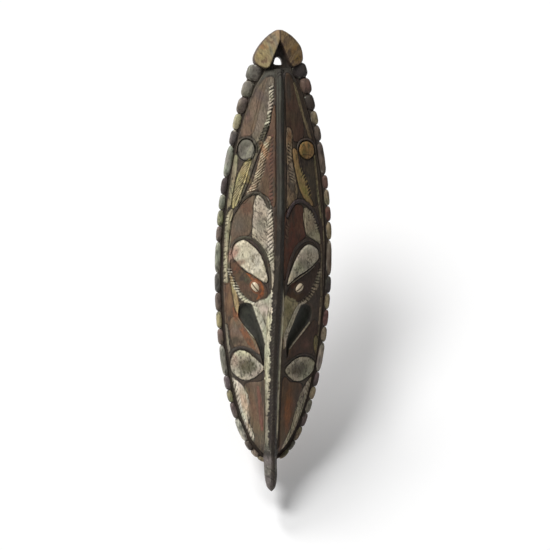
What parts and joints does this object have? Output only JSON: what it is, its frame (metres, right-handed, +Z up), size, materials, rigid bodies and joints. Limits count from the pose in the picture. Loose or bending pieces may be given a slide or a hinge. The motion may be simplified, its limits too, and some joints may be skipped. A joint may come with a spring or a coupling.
{
  "type": "carved wooden mask",
  "caption": "Long oval carved wooden wall mask with a keel, long beaked nose, cowrie eyes set in putty, knobbed border, hollow back and a finial with a hanging hole.",
  "frame": {"origin": "centre of the hanging hole, on the plane of the wall that the flat back rests on", "axes": "+Z up along the mask towards the finial, +Y back towards the wall (the carved front faces -Y), +X to the right as seen from the front"},
  "size_m": [0.1892, 0.071, 0.735],
  "materials": {
    "carved_wood": "matte",
    "eye_putty": "matte",
    "cowrie_shell": "satin"
  },
  "bodies": {
    "root": {"mask_board": "carved_wood", "eye_putty_left": "eye_putty", "eye_putty_right": "eye_putty", "cowrie_left": "cowrie_shell", "cowrie_right": "cowrie_shell"}
  },
  "joints": []
}
